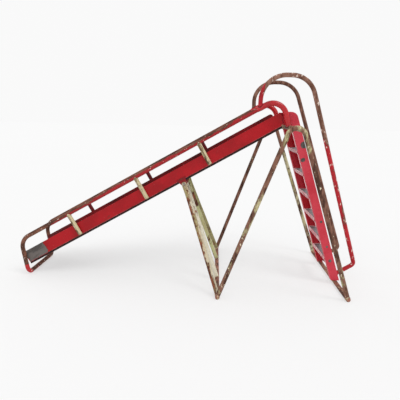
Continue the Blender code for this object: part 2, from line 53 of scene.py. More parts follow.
SLOPE = math.radians(30.0)
LADDER_LEAN = math.radians(17.75)
RAIL_ABOVE_BAR = 0.2156
RAIL_TOP_BACK = 0.202
RAIL_CORNER_Z = 0.2325
RAIL_FOOT_LEAN = math.radians(10.6)
RAIL_BEND = 0.085
FOOT_BEND = 0.045
FOOT_RISE = 0.070
WALL_DROP = 0.079
WALL_HEIGHT = 0.076
BED_SHEET = 0.0025
BED_ROLL = 0.013
CHUTE_TOP_BACK = 0.049
POST_LENGTH = 0.150
HOOK_CORNER_BACK = 0.0545
HOOK_END_BACK = 0.010
HOOK_END_RISE = 0.009
HOOK_BEND = 0.082
STRINGER = 0.050
HANDRAIL_FOOT_BACK = 0.184
HANDRAIL_RISE = 0.190
HANDRAIL_SPLAY = 0.048
HANDRAIL_CORNER = 0.0913
HANDRAIL_BEND = 0.143
HANDRAIL_LEAN = math.radians(17.9)
HANDRAIL_HEEL_Z = 0.135
HANDRAIL_HEEL_BEND = 0.026
HANDRAIL_END_Z = 0.058
FRAME_APEX_BACK = 0.018
FRAME_APEX_RISE = 0.1015
FRAME_APEX_Y = 0.550
FRAME_BEND = 0.0487
SUPPORT_FOOT_Y = 0.487
LADDER_FOOT_Y = 0.455
STRUT_FOOT_Y = 0.4571
EYE_Y = 0.20335
INNER_EYE_Y = 0.065
INNER_FOOT_Y = 0.190
EYE_WIDTH = 0.030
EYE_SHEET = 0.005
EYE_FLAT = 0.021              # flat length of a strut's pressed end, from the bolt
EYE_SPREAD = 0.064            # from the bolt to where the strut is round again
EYE_BEND = 0.036              # from the bolt to where the strut starts to lean sideways
BOLT_HOLE = 0.011
TREADS = 7
SIDES = (("left", -1), ("right", 1))


def middle(node):
    low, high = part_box(node)
    return (low + high) / 2


BAR = middle("top_crossbar")
SUPPORT_FOOT = middle("support_foot_bar")
LADDER_FOOT = middle("ladder_foot_bar")
PIVOT = middle("pivot_bolt_left")
PIVOT.y = 0
OUTER_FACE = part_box("stringer_right")[1].y
STRINGER_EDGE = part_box("stringer_right")[0].y
CHUTE_DROP = WALL_DROP + WALL_HEIGHT
DOWN_SLOPE = Vector((-math.cos(SLOPE), 0, -math.sin(SLOPE)))
UP_NORMAL = Vector((-math.sin(SLOPE), 0, math.cos(SLOPE)))


def rail_point(x, side):
    return Vector((x, side * HALF_WIDTH, BAR.z + RAIL_ABOVE_BAR + math.tan(SLOPE) * (x - BAR.x)))


RAIL_TOP_X = BAR.x - RAIL_TOP_BACK
RAIL_CORNER_X = BAR.x - (rail_point(BAR.x, 0).z - RAIL_CORNER_Z) / math.tan(SLOPE)
RAIL_FOOT_X = RAIL_CORNER_X + math.tan(RAIL_FOOT_LEAN) * (RAIL_CORNER_Z - R)
CHUTE_END_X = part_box("chute_bed")[0].x


def rail_foot(z, side):
    x = RAIL_FOOT_X - math.tan(RAIL_FOOT_LEAN) * (z - R)
    return Vector((x, side * HALF_WIDTH, z))


def stringer_x(z):
    return LADDER_FOOT.x - math.tan(LADDER_LEAN) * (z - LADDER_FOOT.z)


# ---- details that only this model has, in metres ------------------------------------------------
PIPE_SEGMENTS = 32
RING_SPACING = 0.014          # between the rings of a pipe
FINE_SPACING = 0.007          # the same where a pipe's radius changes
DENT = 0.00035                # depth of the shallow dents in a pipe
DENT_WAVES = 23.0             # broad dents and fine ones, per metre
FINE_DENT_WAVES = 71.0
FINE_DENT = 0.6               # depth of the fine dents, of the broad ones
STRUT_DENT = 0.0004
ROUND_END = 0.003             # rounding of a pipe's closed end
SHARP_ANGLE = math.radians(40)
BEAD = 0.0024                 # radius of a weld bead round a pipe
THIN_BEAD = 0.0021            # beside a post
WIDE_BEAD = 0.0026
TREAD_BEAD = 0.0019
SEAM_BEAD = 0.0011
SEAM_RISE = 0.0012            # of the seam's centre above the wall's lower edge
SEAM_SHORT = 0.004            # of the seam at the chute's upper end
SEAM_PROUD = 0.0002           # of its centre outside the wall
BED_STEP = 0.05               # between the bed's cross sections
BEAD_STEP = 0.0016            # between the rings of a bead
BEAD_RIPPLE = 0.0046          # length of one ripple
HOOK_FLARE = 0.028            # length over which a hook's pipe widens
COPE_CLEARANCE = 0.0002       # around the crossbar in the hook's coped end
COPE_REACH = 0.04             # half length of the tool that copes a hook
HOLE_REACH = 0.02             # half length of the tool that bores a strut's eye
POST_WELD_SPREAD = 0.0068     # of the two beads beside a post from its middle line
POST_TOE = 0.0095             # half width of the bead round a post's lower end
POST_TOE_DROP = 0.0035
POST_WELD_INSET = 0.004       # of the beads from the wall's top edge and the post's end
ON_FACE = 0.0009              # centre of a bead that lies on a sheet's face
BAR_WELD_SPREAD = 0.0052      # of the two beads under a stringer from the floor bar's middle
BAR_BEAD_SINK = 0.0006        # of those beads' centres below the top of the bar
TREAD_BEAD_IN = 0.0035        # of the beads at a tread's ends from its front and rear
TREAD_BEAD_SHORT = 0.001
CUT_BLOCK = 0.08              # side of the block that trims a handrail's end


# ---- mesh helpers -------------------------------------------------------------------------------
def filleted(points, radii, step=math.radians(5)):
    """Points along a polyline in space whose inner corners are rounded."""
    points = [Vector(p) for p in points]
    path = [points[0]]
    for before, corner, after, radius in zip(points, points[1:], points[2:], radii):
        into = (corner - before).normalized()
        out = (after - corner).normalized()
        turn = into.angle(out)
        reach = radius * math.tan(turn / 2)
        centre = corner + (out - into).normalized() * (radius / math.cos(turn / 2))
        start = corner - into * reach
        axis = into.cross(out).normalized()
        count = max(2, round(turn / step))
        for i in range(count + 1):
            path.append(centre + Matrix.Rotation(turn * i / count, 3, axis) @ (start - centre))
    path.append(points[-1])
    return path


def resampled(path, spacing):
    """The path with points added so that none are further apart than the spacing."""
    dense = [path[0]]
    for a, b in zip(path, path[1:]):
        count = max(1, math.ceil((b - a).length / spacing))
        dense += [a.lerp(b, i / count) for i in range(1, count + 1)]
    return dense


def frames_along(path, closed=False):
    """Point, side and across vectors along a path, turned as little as possible."""
    out = []
    last = len(path) - 1
    side = None
    for i, point in enumerate(path):
        ahead = path[(i + 1) % len(path)] if closed else path[min(i + 1, last)]
        behind = path[i - 1] if closed else path[max(i - 1, 0)]
        tangent = (ahead - behind).normalized()
        if side is None:
            side = tangent.orthogonal().normalized()
        side = (side - tangent * side.dot(tangent)).normalized()
        out.append((point, side, tangent.cross(side)))
    return out


def new_piece(name, bm, body, finish, replaced=()):
    bmesh.ops.recalc_face_normals(bm, faces=bm.faces)
    mesh = bpy.data.meshes.new(name)
    bm.to_mesh(mesh)
    bm.free()
    mesh.materials.append(finish)
    mesh.shade_smooth()
    mesh.set_sharp_from_angle(angle=SHARP_ANGLE)
    obj = bpy.data.objects.new(name, mesh)
    bpy.context.scene.collection.objects.link(obj)
    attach(obj, body)
    if replaced:
        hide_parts(*replaced)
    return obj


def loft(bm, rings, closed=False):
    """Faces between rings of vertices, with an end face on each end of an open loft."""
    count = len(rings[0])
    pairs = list(zip(rings, rings[1:]))
    if closed:
        pairs.append((rings[-1], rings[0]))
    for a, b in pairs:
        for k in range(count):
            bm.faces.new((a[k], a[(k + 1) % count], b[(k + 1) % count], b[k]))
    if not closed:
        bm.faces.new(rings[0])
        bm.faces.new(list(reversed(rings[-1])))
    return bm


def rounded_end(bm, rim, centre, outward):
    """Rings that close a pipe's end with a rounded edge, from the rim outwards."""
    rings = []
    for turn in (math.radians(30), math.radians(60), math.radians(85)):
        shrink = 1 - ROUND_END * (1 - math.cos(turn)) / R
        lift = outward.normalized() * (ROUND_END * math.sin(turn))
        rings.append([bm.verts.new(centre + (v.co - centre) * shrink + lift) for v in rim])
    return rings


def tube(path, radius, spacing=RING_SPACING, dent=DENT, domes=(False, False)):
    """A pipe along the path; the radius is a number or a function of the distance from the start.

    Shallow dents, always inwards, keep it from looking machined."""
    dense = resampled(path, spacing)
    bm = bmesh.new()
    rings = []
    along = 0.0
    last = dense[0]
    for point, side, across in frames_along(dense):
        along += (point - last).length
        last = point
        r = radius(along) if callable(radius) else radius
        ring = []
        for k in range(PIPE_SEGMENTS):
            angle = 2 * math.pi * k / PIPE_SEGMENTS
            way = side * math.cos(angle) + across * math.sin(angle)
            spot = point + way * r
            broad = abs(noise.noise(spot * DENT_WAVES))
            fine = abs(noise.noise(spot * FINE_DENT_WAVES))
            depth = dent * broad + dent * FINE_DENT * fine
            ring.append(bm.verts.new(spot - way * depth))
        rings.append(ring)
    if domes[0]:
        rings = rounded_end(bm, rings[0], dense[0], dense[0] - dense[1])[::-1] + rings
    if domes[1]:
        rings += rounded_end(bm, rings[-1], dense[-1], dense[-1] - dense[-2])
    loft(bm, rings)
    return bm


def cut_away(obj, bm):
    """Take the shape in bm out of the object's mesh."""
    bmesh.ops.recalc_face_normals(bm, faces=bm.faces)
    mesh = bpy.data.meshes.new("tool")
    bm.to_mesh(mesh)
    bm.free()
    tool = bpy.data.objects.new("tool", mesh)
    bpy.context.scene.collection.objects.link(tool)
    modifier = obj.modifiers.new("cut", "BOOLEAN")
    modifier.operation = "DIFFERENCE"
    modifier.object = tool
    bpy.context.view_layer.update()
    graph = bpy.context.evaluated_depsgraph_get()
    result = bpy.data.meshes.new_from_object(obj.evaluated_get(graph))
    obj.modifiers.clear()
    obj.data = result
    bpy.data.objects.remove(tool, do_unlink=True)


def bead(bm, line, radius=BEAD, closed=False, seed=0, sides=10):
    """A weld bead along a line of points: a thin rope with the ripple of a hand-run weld."""
    points = [Vector(p) for p in line]
    if closed:
        points.append(points[0])
    dense = resampled(points, BEAD_STEP)
    if closed:
        dense.pop()
    rings = []
    travelled = 0.0
    last = dense[0]
    for i, (point, side, across) in enumerate(frames_along(dense, closed)):
        travelled += (point - last).length
        last = point
        ripple = 0.16 * math.sin(travelled * 2 * math.pi / BEAD_RIPPLE)
        swell = 0.30 * noise.noise(point * 160 + Vector((seed, 0, 0)))
        r = radius * (1 + ripple + swell)
        if not closed:
            r *= min(1.0, 0.45 + 0.55 * min(i, len(dense) - 1 - i) / 3)
        rings.append([bm.verts.new(point + (side * math.cos(a) + across * math.sin(a)) * r)
                      for a in np.linspace(0, 2 * math.pi, sides, endpoint=False)])
    loft(bm, rings, closed)


def saddle(end, way, a, axis_point, axis, b, count=40):
    """The line where a pipe of radius a leaves a pipe of radius b."""
    way = Vector(way).normalized()
    axis = Vector(axis).normalized()
    side = way.orthogonal().normalized()
    across = way.cross(side)
    line = []
    for t in np.linspace(0, 2 * math.pi, count, endpoint=False):
        base = Vector(end) + (side * math.cos(t) + across * math.sin(t)) * a
        w = base - Vector(axis_point)
        w = w - axis * w.dot(axis)
        d = way - axis * way.dot(axis)
        qa = d.dot(d)
        qb = 2 * w.dot(d)
        qc = w.dot(w) - b * b
        root = math.sqrt(max(0.0, qb * qb - 4 * qa * qc))
        line.append(base + way * ((-qb + root) / (2 * qa)))
    return line


def ring_on_plane(end, way, a, normal, count=40):
    """The line where a pipe of radius a meets the plane through its end."""
    way = Vector(way).normalized()
    side = way.orthogonal().normalized()
    across = way.cross(side)
    normal = Vector(normal)
    line = []
    for t in np.linspace(0, 2 * math.pi, count, endpoint=False):
        offset = (side * math.cos(t) + across * math.sin(t)) * a
        line.append(Vector(end) + offset - way * (offset.dot(normal) / way.dot(normal)))
    return line


# ---- materials ----------------------------------------------------------------------------------
def srgb(r, g, b, alpha=1.0):
    def channel(v):
        v /= 255
        return v / 12.92 if v <= 0.04045 else ((v + 0.055) / 1.055) ** 2.4
    return (channel(r), channel(g), channel(b), alpha)


class Nodes:
    """Short calls that add shader nodes to one material."""

    def __init__(self, name):
        self.mat = bpy.data.materials.new(name)
        self.mat.use_nodes = True
        self.tree = self.mat.node_tree
        self.shader = self.tree.nodes["Principled BSDF"]
        self.place = self.tree.nodes.new("ShaderNodeTexCoord").outputs["Object"]
        split = self.tree.nodes.new("ShaderNodeSeparateXYZ")
        self.link(self.place, split.inputs[0])
        self.axis = {"X": split.outputs[0], "Y": split.outputs[1], "Z": split.outputs[2]}

    def link(self, a, b):
        self.tree.links.new(a, b)

    def put(self, socket, value):
        if isinstance(value, bpy.types.NodeSocket):
            self.link(value, socket)
        else:
            socket.default_value = value

    def noise(self, scale, seed=0.0, detail=6.0, rough=0.6, distortion=0.0, grain=None, length=3.0):
        """Noise, drawn out to the given length along a direction if one is given."""
        mapping = self.tree.nodes.new("ShaderNodeMapping")
        mapping.vector_type = "TEXTURE"
        mapping.inputs["Location"].default_value = (seed * 1.7, seed * 0.9, seed * 2.3)
        if grain is not None:
            turn = Vector((1, 0, 0)).rotation_difference(Vector(grain))
            mapping.inputs["Rotation"].default_value = turn.to_euler()
            mapping.inputs["Scale"].default_value = (length, 1, 1)
        self.link(self.place, mapping.inputs["Vector"])
        node = self.tree.nodes.new("ShaderNodeTexNoise")
        node.inputs["Scale"].default_value = scale
        node.inputs["Detail"].default_value = detail
        node.inputs["Roughness"].default_value = rough
        node.inputs["Distortion"].default_value = distortion
        self.link(mapping.outputs[0], node.inputs["Vector"])
        return node.outputs["Fac"]

    def math(self, kind, a, b=0.0, clamp=False):
        node = self.tree.nodes.new("ShaderNodeMath")
        node.operation = kind
        node.use_clamp = clamp
        self.put(node.inputs[0], a)
        self.put(node.inputs[1], b)
        return node.outputs[0]

    def ramp(self, value, start, end, low=0.0, high=1.0):
        node = self.tree.nodes.new("ShaderNodeMapRange")
        node.interpolation_type = "SMOOTHSTEP"
        node.inputs["From Min"].default_value = start
        node.inputs["From Max"].default_value = end
        node.inputs["To Min"].default_value = low
        node.inputs["To Max"].default_value = high
        self.link(value, node.inputs["Value"])
        return node.outputs["Result"]

    def mix(self, amount, a, b):
        node = self.tree.nodes.new("ShaderNodeMix")
        node.data_type = "RGBA"
        self.put(node.inputs["Factor"], amount)
        self.put(node.inputs[6], a)
        self.put(node.inputs[7], b)
        return node.outputs[2]

    def facing(self, way):
        """How far the surface faces a direction, from -1 to 1."""
        geometry = self.tree.nodes.new("ShaderNodeNewGeometry")
        dot = self.tree.nodes.new("ShaderNodeVectorMath")
        dot.operation = "DOT_PRODUCT"
        self.link(geometry.outputs["Normal"], dot.inputs[0])
        dot.inputs[1].default_value = way
        return dot.outputs["Value"]

    def edge(self, radius):
        """1 along the piece's sharp outer edges, falling to 0 within the radius."""
        geometry = self.tree.nodes.new("ShaderNodeNewGeometry")
        soft = self.tree.nodes.new("ShaderNodeBevel")
        soft.samples = 4
        soft.inputs["Radius"].default_value = radius
        dot = self.tree.nodes.new("ShaderNodeVectorMath")
        dot.operation = "DOT_PRODUCT"
        self.link(geometry.outputs["Normal"], dot.inputs[0])
        self.link(soft.outputs[0], dot.inputs[1])
        return self.ramp(dot.outputs["Value"], 0.99, 0.88)

    def finish(self, colour, rough, height, depth=0.0006, metallic=0.0, strength=0.7):
        self.put(self.shader.inputs["Base Color"], colour)
        self.put(self.shader.inputs["Roughness"], rough)
        self.put(self.shader.inputs["Metallic"], metallic)
        bump = self.tree.nodes.new("ShaderNodeBump")
        bump.inputs["Strength"].default_value = strength
        bump.inputs["Distance"].default_value = depth
        self.link(height, bump.inputs["Height"])
        self.link(bump.outputs[0], self.shader.inputs["Normal"])
        return self.mat


RUST_DARK = srgb(66, 40, 30)
RUST = srgb(122, 74, 50)
RUST_PALE = srgb(150, 112, 88)
SCUFF = srgb(206, 140, 132)


def wear_level(n, seed, patch, flake, grain, bias, facing_wear_and_shade, spots, edges):
    """Noise from about 0.3 to 0.7, lower where the paint is worn most."""
    big = n.noise(patch, seed, 5, 0.55, 0.4, grain)
    small = n.noise(flake, seed + 3, 6, 0.65, 0.2, grain, 2.0)
    level = n.math("ADD", n.math("MULTIPLY", big, 0.68), n.math("MULTIPLY", small, 0.32))
    for axis, start, end, amount in bias:
        level = n.math("ADD", level, n.ramp(n.axis[axis], start, end, 0.0, amount))
    # Facing bias: paint worn off faces turned up; turned to -X, also painted shade on the sides
    # away from the light.
    for way, amount in facing_wear_and_shade:
        level = n.math("ADD", level, n.math("MULTIPLY", n.facing(way), amount))
    for centre, radius, amount in spots:
        apart = n.tree.nodes.new("ShaderNodeVectorMath")
        apart.operation = "DISTANCE"
        n.link(n.place, apart.inputs[0])
        apart.inputs[1].default_value = centre
        level = n.math("ADD", level, n.ramp(apart.outputs["Value"], radius, 0.0, 0.0, amount))
    if edges:
        level = n.math("SUBTRACT", level, n.math("MULTIPLY", n.edge(0.004), edges))
    return level


def bare_steel(n, bare, seed, grain, pits):
    """Rusty steel of two tones with paler, drier rust in its pits."""
    blotch = n.noise(34, seed + 7, 6, 0.6, 0.0, grain)
    steel = n.mix(n.ramp(blotch, 0.40, 0.60), bare[0], bare[1])
    return n.mix(n.ramp(pits, 0.54, 0.74, 0.0, 0.40), steel, RUST_PALE)


def undercoat(n, steel, under, under_alt, under_wear, seed, patch, flake, grain):
    """The steel with what is left of an older coat on it, and the mask of that coat."""
    broad = n.math("MULTIPLY", n.noise(patch * 1.6, seed + 11, 5, 0.6, 0.5, grain), 0.6)
    fine = n.math("MULTIPLY", n.noise(flake * 1.4, seed + 13, 6, 0.7), 0.4)
    low = n.math("ADD", broad, fine)
    kept = n.ramp(low, under_wear - 0.02, under_wear + 0.02)
    coat = n.mix(n.ramp(n.noise(26, seed + 17, 4), 0.38, 0.62), under, under_alt)
    coat = n.mix(n.ramp(low, under_wear + 0.07, under_wear + 0.01, 0.0, 0.5), coat, RUST)
    return n.mix(kept, steel, coat), kept


def top_coat(n, top, top_alt, grime, halo, seed):
    """The top paint, faded in places, grimy, scuffed pale, and dark along its worn borders."""
    fade = n.ramp(n.noise(5.5, seed + 19, 5, 0.55), 0.36, 0.64)
    paint = n.mix(fade, top, top_alt)
    paint = n.mix(n.ramp(grime, 0.54, 0.74, 0.0, 0.34), paint, RUST_DARK)
    pale = n.noise(95, seed + 29, 5, 0.7)
    paint = n.mix(n.ramp(pale, 0.62, 0.76, 0.0, 0.28), paint, SCUFF)
    return n.mix(n.math("SUBTRACT", 0.5, n.math("MULTIPLY", halo, 0.5)), paint, RUST_DARK)


def worn_paint(name, top, top_alt, under=None, under_alt=None, bare=(RUST_DARK, RUST),
               wear=0.42, under_wear=0.5, seed=0.0, patch=11.0, flake=70.0, bias=(), facing_wear_and_shade=(),
               spots=(), gloss=0.42, edges=0.0, grain=None, chips=None, shine=0.22):
    """Paint, over an older coat if one is given, over rusty steel, worn away in ragged patches.

    The paint is gone where the wear level is below wear. patch and flake are the scales of its
    broad and fine noise, drawn out along grain. bias holds (axis, start, end, amount) added along
    an axis, the facing list (direction, amount) added where the surface faces a direction, and
    spots (centre, radius, amount) added round a point. chips is (colour, density, scale).
    Turned up, the facing list wears paint off tops; turned to -X, it leaves the sides away from
    the light darker, partly wear and partly painted shade."""
    n = Nodes(name)
    n.shader.inputs["Specular IOR Level"].default_value = shine
    level = wear_level(n, seed, patch, flake, grain, bias, facing_wear_and_shade, spots, edges)
    kept = n.ramp(level, wear - 0.018, wear + 0.018)
    halo = n.ramp(level, wear + 0.01, wear + 0.07)
    pits = n.noise(240, seed + 5, 5, 0.7)
    base = bare_steel(n, bare, seed, grain, pits)
    height = n.math("MULTIPLY", pits, 0.35)
    if under is not None:
        base, under_kept = undercoat(n, base, under, under_alt, under_wear, seed, patch, flake,
                                     grain)
        height = n.math("ADD", height, n.math("MULTIPLY", under_kept, 0.5))
    grime = n.noise(130, seed + 23, 7, 0.72)
    colour = n.mix(kept, base, top_coat(n, top, top_alt, grime, halo, seed))
    if chips is not None:
        tint, density, size = chips
        speck = n.noise(size, seed + 37, 4, 0.6, 0.0, grain, 2.2)
        colour = n.mix(n.ramp(speck, 0.66 - density, 0.68 - density), colour, tint)
    height = n.math("ADD", height, n.math("MULTIPLY", kept, 0.8))
    wave = n.noise(48, seed + 31, 3, 0.5)
    height = n.math("ADD", height, n.math("MULTIPLY", wave, 0.25))
    rough = n.math("ADD", n.ramp(kept, 0.0, 1.0, 0.82, gloss),
                   n.math("MULTIPLY", n.math("SUBTRACT", grime, 0.5), 0.35))
    return n.finish(colour, rough, height)


RED = srgb(168, 12, 24)
RED_ALT = srgb(148, 10, 20)
# These two pinks are the red ladder paint lightened: partly paint, partly a painted sheen of light
# reflected off it.
PINK_WITH_SHEEN = srgb(200, 62, 76)
PINK_ALT_WITH_SHEEN = srgb(184, 44, 58)
DULL_RED = srgb(150, 34, 38)
MAROON = srgb(76, 12, 14)
CHIP_WHITE = srgb(232, 214, 200)
UPRIGHT = (0, 0, 1)
CREAM = srgb(216, 204, 180)
CREAM_ALT = srgb(188, 170, 138)
OLIVE = srgb(172, 164, 118)
OLIVE_ALT = srgb(146, 136, 92)
WOOD_BROWN = (srgb(74, 46, 36), srgb(122, 80, 64))
DARK_STEEL = (srgb(74, 70, 68), srgb(104, 98, 95))

M = {}


def make_materials():
    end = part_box("chute_wall_left")[0]
    face = -OUTER_FACE
    worn_end = (((end.x + 0.030, face, end.z + 0.075), 0.125, -1.1),
                ((end.x + 0.085, face, end.z + 0.050), 0.110, -1.1),
                ((end.x + 0.030, face, end.z + 0.018), 0.024, 1.2))
    M["wall_near"] = worn_paint("near wall red paint", RED, RED_ALT, bare=DARK_STEEL, wear=0.30,
                                seed=1, patch=9, flake=60, spots=worn_end, gloss=0.42, edges=0.06,
                                grain=DOWN_SLOPE)
    # The far wall is coloured darker red and maroon than the near wall: painted shade standing for
    # the shade on its inner face.
    M["wall_far"] = worn_paint("far wall red paint darkened as painted shade", srgb(122, 14, 20), MAROON, bare=DARK_STEEL,
                               wear=0.30, seed=2, patch=9, gloss=0.45, grain=DOWN_SLOPE)
    M["rail_near"] = worn_paint("near rail paint", srgb(158, 28, 34), DULL_RED, bare=WOOD_BROWN,
                                wear=0.47, seed=4, patch=9, facing_wear_and_shade=((UPRIGHT, -0.17),),
                                bias=(("X", -0.82, -0.95, -0.30),), grain=DOWN_SLOPE,
                                chips=(CHIP_WHITE, 0.0, 120),
                                spots=(((-0.42, -HALF_WIDTH, 0.60), 0.14, 0.12),))
    M["rail_far"] = worn_paint("far rail paint", srgb(112, 24, 26), MAROON, bare=WOOD_BROWN,
                               wear=0.56, seed=6, patch=9, facing_wear_and_shade=((UPRIGHT, -0.12),),
                               grain=DOWN_SLOPE)
    M["foot"] = worn_paint("foot bar paint", srgb(178, 40, 46), DULL_RED, bare=WOOD_BROWN,
                           wear=0.56, seed=8, patch=13, chips=(CHIP_WHITE, 0.02, 60),
                           bias=(("Y", -0.14, -0.20, 0.25),), facing_wear_and_shade=((UPRIGHT, -0.08),))
    M["hook"] = worn_paint("hook red paint", srgb(188, 14, 28), srgb(160, 10, 20), wear=0.31,
                           seed=9, patch=14, gloss=0.24, shine=0.5)
    # The -X entry leaves the posts' left sides bare and dark: partly wear, partly painted shade on
    # the side away from the light.
    M["post_cream"] = worn_paint("post cream paint", srgb(196, 184, 146), CREAM_ALT, under=CREAM,
                                 under_alt=OLIVE, wear=0.50, under_wear=0.50, seed=12, patch=26,
                                 facing_wear_and_shade=(((-1, 0, 0), -0.14),), grain=UP_NORMAL,
                                 bare=(srgb(70, 58, 40), srgb(120, 100, 72)))
    M["post_red"] = worn_paint("post dark red paint", srgb(104, 14, 20), MAROON, wear=0.36,
                               seed=14, patch=20)
    M["hand_near"] = worn_paint(
        "near handrail paint", srgb(180, 34, 44), srgb(160, 24, 34), under=srgb(196, 160, 146),
        under_alt=CREAM_ALT, bare=(srgb(98, 64, 50), srgb(146, 108, 92)), wear=0.43,
        under_wear=0.62, seed=16, patch=10, grain=UPRIGHT, chips=(CHIP_WHITE, 0.045, 75),
        bias=(("Z", 0.84, 1.04, -0.42), ("X", 0.470, 0.425, 0.50), ("Z", 0.60, 0.16, 0.10)),
        facing_wear_and_shade=(((0.9, -0.1, 0.4), -0.05),))
    M["hand_far"] = worn_paint(
        "far handrail paint", DULL_RED, MAROON, under=CREAM_ALT, under_alt=OLIVE,
        bare=(srgb(88, 56, 44), srgb(132, 96, 80)), wear=0.60, under_wear=0.68, seed=18, patch=9,
        grain=UPRIGHT, bias=(("X", 0.50, 0.42, 0.12),))
    marks = (((0.694, face, 0.880), 0.034, -0.60), ((0.694, face, 0.790), 0.022, -0.60),
             ((0.832, face, 0.407), 0.012, -0.70), ((0.881, face, 0.247), 0.010, -0.70),
             ((0.907, face, 0.155), 0.013, -0.70))
    # The near ladder's pink is partly a painted sheen; the far ladder takes the same sheen in its
    # second tone.
    M["stringer_near"] = worn_paint("near ladder paint with painted sheen", PINK_WITH_SHEEN, PINK_ALT_WITH_SHEEN, bare=DARK_STEEL,
                                    wear=0.30, seed=21, patch=12, gloss=0.50, edges=0.05,
                                    spots=marks, grain=UPRIGHT)
    M["stringer_far"] = worn_paint("far ladder paint with painted sheen", srgb(186, 26, 40), PINK_ALT_WITH_SHEEN,
                                   bare=DARK_STEEL, wear=0.30, seed=22, patch=12, gloss=0.50,
                                   edges=0.05, grain=UPRIGHT)
    leg_brown = (srgb(72, 46, 36), srgb(128, 90, 74))
    M["frame_near"] = worn_paint(
        "near side frame paint", srgb(186, 174, 134), OLIVE, under=CREAM_ALT, under_alt=OLIVE_ALT,
        bare=leg_brown, wear=0.585, under_wear=0.62, seed=24, patch=18, flake=90, grain=UPRIGHT,
        chips=(srgb(226, 212, 184), 0.02, 80),
        bias=(("Z", 0.93, 1.03, 0.10),),
        spots=(((0.40, -0.51, 0.57), 0.13, 0.17), ((0.348, -0.50, 0.431), 0.11, 0.17)))
    M["frame_far"] = worn_paint(
        "far side frame paint", srgb(186, 180, 148), OLIVE, under=CREAM_ALT, under_alt=OLIVE_ALT,
        bare=leg_brown, wear=0.60, under_wear=0.64, seed=25, patch=16, flake=90, grain=UPRIGHT,
        bias=(("Z", 0.93, 1.03, 0.10), ("X", 0.62, 0.68, 0.14)))
    strut_rust = (srgb(84, 46, 32), srgb(140, 84, 58))
    light = srgb(206, 198, 174)
    for key, top, other, wear, seed in (
            ("strut_left", light, CREAM_ALT, 0.47, 27),
            ("strut_inner_left", srgb(212, 206, 186), light, 0.42, 28),
            ("strut_inner_right", srgb(186, 186, 136), OLIVE, 0.43, 29),
            ("strut_right", srgb(164, 162, 112), OLIVE_ALT, 0.43, 26)):
        # The -X entry darkens each strut's left side, most on the near strut: partly wear, partly
        # painted shade on the side away from the light.
        M[key] = worn_paint(
            "paint of " + key, top, other, under=OLIVE, under_alt=OLIVE_ALT, bare=strut_rust,
            wear=wear, under_wear=0.54, seed=seed, patch=14, flake=80, grain=UPRIGHT,
            facing_wear_and_shade=(((-1, 0, 0), -0.13 if key == "strut_left" else -0.05),),
            spots=(((0.024, 0.09, 0.475), 0.075, -0.6),))
    M["bar"] = worn_paint("floor bar paint", srgb(176, 164, 128), OLIVE, under=srgb(182, 132, 116),
                          under_alt=CREAM_ALT, bare=(srgb(82, 54, 44), srgb(150, 100, 84)),
                          wear=0.575, under_wear=0.54, seed=30, patch=19, flake=80,
                          grain=(0, 1, 0))
    M["crossbar"] = worn_paint("crossbar paint", DULL_RED, MAROON, under=CREAM_ALT,
                               under_alt=OLIVE, bare=WOOD_BROWN, wear=0.52, under_wear=0.52,
                               seed=33, patch=16)
    M["bracket"] = worn_paint("bracket paint", srgb(140, 14, 24), MAROON, wear=0.40, seed=35,
                              patch=30)
    M["bed"] = bed_material()
    M["tread"] = tread_material()
    M["bolt"] = bolt_material()
    M["weld_red"] = worn_paint("red weld", srgb(150, 22, 30), MAROON, wear=0.40, seed=37,
                               patch=60, flake=200)
    M["weld_cream"] = worn_paint("cream weld", CREAM_ALT, srgb(206, 190, 158), wear=0.45, seed=39,
                                 patch=60, flake=200)
    # The seam's pale pink is partly a painted highlight where its top edge catches the light.
    M["seam"] = worn_paint("seam paint and painted highlight", srgb(196, 96, 98), srgb(160, 40, 46), wear=0.45, seed=41,
                           patch=30, flake=120)


